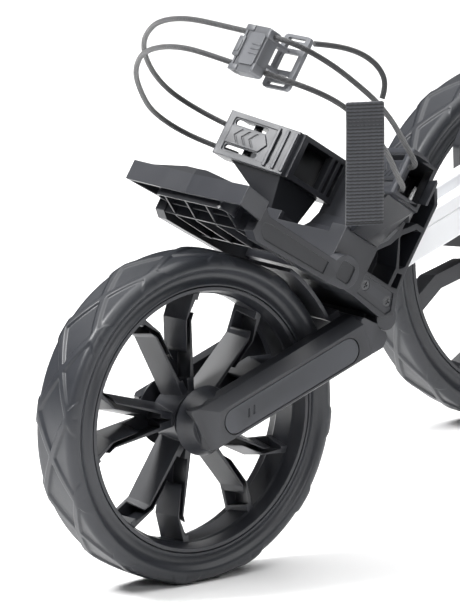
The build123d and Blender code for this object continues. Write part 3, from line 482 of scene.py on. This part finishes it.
def thread_rows():
    """Two staggered rows of sewing stitches across the front layer, each a small rounded bead."""
    mesh = bpy.data.meshes.new("webbing_stitches")
    bm = bmesh.new()
    count, pitch = 9, 2.75
    for drop, shift in ((12.2, 0.0), (15.0, 0.35)):
        for k in range(count):
            made = bmesh.ops.create_uvsphere(bm, u_segments=10, v_segments=6, radius=1.0)
            centre = tab_point((k - (count - 1) / 2) * pitch + shift, drop, 1.22)
            for vert in made["verts"]:
                x, y, z = vert.co
                bead = TAB_ACROSS * x * 1.05 + TAB_OUT * y * 0.3 + Vector((0, 0, z * 0.36))
                vert.co = centre + bead * MM
    bm.to_mesh(mesh)
    bm.free()
    smooth(mesh, 1.2)
    return mesh


piece("webbing_tab", webbing_tab(), "frame", WEB, "webbing", "webbing_pull")
THREAD = painted("sewing_thread", (0.05, 0.052, 0.058), 0.6, coat=0.0)
piece("webbing_stitches", thread_rows(), "frame", THREAD, "webbing")

# ------------------------------------------------------------------ buckle details
BUCKLE = bag(192, -140, 217)


def buckle_block(name, across, along, out, size, round_over=0.5):
    """A rounded block on the buckle, placed in mm from its middle: across, along the bag and out."""
    mesh = bpy.data.meshes.new(name)
    bm = bmesh.new()
    bmesh.ops.create_cube(bm, size=1.0)
    for vert in bm.verts:
        x, y, z = (c * s for c, s in zip(vert.co, size))
        vert.co = BUCKLE + (Vector((0, -1, 0)) * (across + x) + N * (along + y) + D * (out + z)) * MM
    bmesh.ops.recalc_face_normals(bm, faces=bm.faces)
    bmesh.ops.bevel(bm, geom=bm.edges, offset=round_over * MM, segments=3, affect="EDGES", profile=0.5)
    bm.to_mesh(mesh)
    bm.free()
    smooth(mesh, 0.5)
    return piece(name, mesh, "frame", GREY, "grey_plastic")


buckle_block("buckle_latch", -12.2, 0.5, 2.6, (7.2, 15.0, 7.4), 0.8)
buckle_block("buckle_latch_pad", -12.2, 0.5, 6.4, (4.6, 9.0, 1.0), 0.3)
for k in range(3):
    buckle_block(f"buckle_grip_{k + 1}", 6.0, -3.5 + 3.5 * k, 6.5, (9.0, 0.9, 0.8), 0.25)
for label, along in (("upper", 15.2), ("lower", -15.2)):
    buckle_block(f"buckle_ear_{label}", -9.0, along, 1.2, (9.5, 4.6, 9.6), 0.9)
    buckle_block(f"buckle_collar_{label}", 12.0, along * 0.86, 0.5, (3.4, 6.4, 10.6), 0.8)

# ------------------------------------------------------------------ elastic cords
CORD_D = 0.004
# points (s, y, h) in mm, as in the CAD part
cord_routes = {
    "cord_upper_far": [
        (193, -126.5, 230), (196, -91, 230), (197, -66, 230), (191, -37, 230), (178, -3, 229),
        (157, 31, 228), (133, 63, 227), (105, 92, 226), (70, 120, 225), (40, 134, 224),
        (18, 130, 223), (2, 118, 222), (-8, 106.5, 221.5), (-12.5, 96, 221.5),
    ],
    "cord_lower_far": [
        (195, -125.8, 205), (204, -105, 205), (207, -83, 205), (200, -51, 205), (184, -13, 204),
        (161, 21, 203), (131, 57, 202), (97, 88, 201), (62, 117, 201), (35, 127, 201.5),
        (15, 124, 202), (1, 115, 203), (-8, 105, 203.5), (-12.5, 95, 203.5),
    ],
    "cord_upper_near": [
        (192, -153.5, 230), (189, -166, 230), (177, -176, 230), (155, -180, 230), (128, -175, 230),
        (98, -166, 230), (64, -149, 229), (36, -132, 227), (15, -120, 225), (1, -113, 223),
        (-8, -105, 222), (-12.5, -95, 222),
    ],
    "cord_lower_near": [
        (187, -153.5, 205), (177, -167, 206), (165, -183, 207), (146, -187, 208.5),
        (122, -179, 210), (98, -172, 209), (74, -165, 206), (50, -149, 205), (27, -132, 203.5),
        (10, -119, 203.5), (-3, -109.5, 203.5), (-12, -98, 203.5),
    ],
    "cord_tail": [
        (187.6, -190.5, 232.4), (172, -193.4, 239.4), (154, -197, 243.9), (140, -199.5, 243.4),
        (129, -200.8, 239), (123, -200.5, 232), (121, -199.6, 225.2),
    ],
}


def spline_curve(name, points, diameter):
    """Round NURBS curve with the points as its control points."""
    curve = bpy.data.curves.new(name, "CURVE")
    curve.dimensions = "3D"
    curve.resolution_u = 12
    curve.bevel_depth = diameter / 2
    curve.bevel_resolution = 5
    curve.use_fill_caps = True
    spline = curve.splines.new("NURBS")
    spline.points.add(len(points) - 1)
    for point, place in zip(spline.points, points):
        point.co = (*place, 1)
    spline.order_u = 3
    spline.use_endpoint_u = True
    return curve


def line_length(curve):
    """Length of a curve's centreline."""
    bare = curve.copy()
    bare.bevel_depth = 0
    probe = bpy.data.objects.new("probe", bare)
    mesh = bpy.data.meshes.new_from_object(probe)
    total = sum(
        (mesh.vertices[e.vertices[0]].co - mesh.vertices[e.vertices[1]].co).length for e in mesh.edges
    )
    bpy.data.objects.remove(probe)
    bpy.data.curves.remove(bare)
    bpy.data.meshes.remove(mesh)
    return total


for name, route in cord_routes.items():
    points = [bag(*p) for p in route]
    curve = spline_curve("strap_" + name, points, CORD_D)
    length = line_length(curve)
    strand = piece("strap_" + name, curve, "frame", CORD, "elastic_cord", name)

# ------------------------------------------------------------------ studio
CAMERA_BACK = Vector((-0.597, -0.778, 0.194)).normalized()
CAMERA_FAR, CAMERA_LENS = 4.4, 365.5
TARGET = AXLE + Vector((0.0350, -0.0068, 0.0807))
# name, place, aim, size and power of each area light
LIGHTS = (
    ("key", (-1.70, 0.75, 1.95), (-0.20, 0, 0.15), 0.5, 60),
    ("overhead", (0.3, 0.4, 3.6), (0.3, 0.4, 0), 6.0, 380),
    ("front", (-1.0, -2.2, 1.3), (-0.25, 0, 0.2), 0.7, 14),
)


def studio_floor(half=9.0):
    """Large pale floor."""
    mesh = bpy.data.meshes.new("studio_floor")
    bm = bmesh.new()
    bmesh.ops.create_grid(bm, x_segments=2, y_segments=2, size=half)
    bm.to_mesh(mesh)
    bm.free()
    ground = bpy.data.objects.new("studio_floor", mesh)
    scene.collection.objects.link(ground)
    sh = Shader("studio_floor")
    drift = sh.noise(sh.coordinates(), 2.0)
    colour = sh.ramp(drift, [(0.3, (0.955, 0.955, 0.955)), (0.7, (0.965, 0.965, 0.965))])
    sh.link(colour, sh.bsdf.inputs["Base Color"])
    sh.bsdf.inputs["Roughness"].default_value = 0.9
    mesh.materials.append(sh.material)


def studio_world():
    """White surroundings that get dimmer high above the horizon."""
    world = bpy.data.worlds.new("studio_world")
    world.use_nodes = True
    tree = world.node_tree
    place = tree.nodes.new("ShaderNodeTexCoord")
    split = tree.nodes.new("ShaderNodeSeparateXYZ")
    fade = tree.nodes.new("ShaderNodeMapRange")
    for socket, value in (("From Min", 0.22), ("From Max", 0.55), ("To Min", 0.95), ("To Max", 0.45)):
        fade.inputs[socket].default_value = value
    tree.links.new(place.outputs["Generated"], split.inputs["Vector"])
    tree.links.new(split.outputs["Z"], fade.inputs["Value"])
    tree.links.new(fade.outputs["Result"], tree.nodes["Background"].inputs["Strength"])
    scene.world = world


def studio_lights():
    """Area lights, each turned to its aim."""
    for name, place, aim, size, power in LIGHTS:
        light = bpy.data.lights.new(name, "AREA")
        light.size = size
        light.energy = power
        lamp = bpy.data.objects.new(name, light)
        lamp.location = place
        lamp.rotation_euler = (Vector(aim) - Vector(place)).to_track_quat("-Z", "Y").to_euler()
        scene.collection.objects.link(lamp)


def studio_camera():
    """Long lens from the front left, a little above the wheel."""
    camera = bpy.data.cameras.new("camera")
    camera.lens = CAMERA_LENS
    camera.sensor_width = 36
    camera.clip_end = 60
    eye = bpy.data.objects.new("camera", camera)
    eye.location = TARGET + CAMERA_BACK * CAMERA_FAR
    eye.rotation_euler = CAMERA_BACK.to_track_quat("Z", "Y").to_euler()
    scene.collection.objects.link(eye)
    scene.camera = eye


studio_floor()
studio_world()
studio_lights()
studio_camera()
scene.view_settings.view_transform = "Standard"
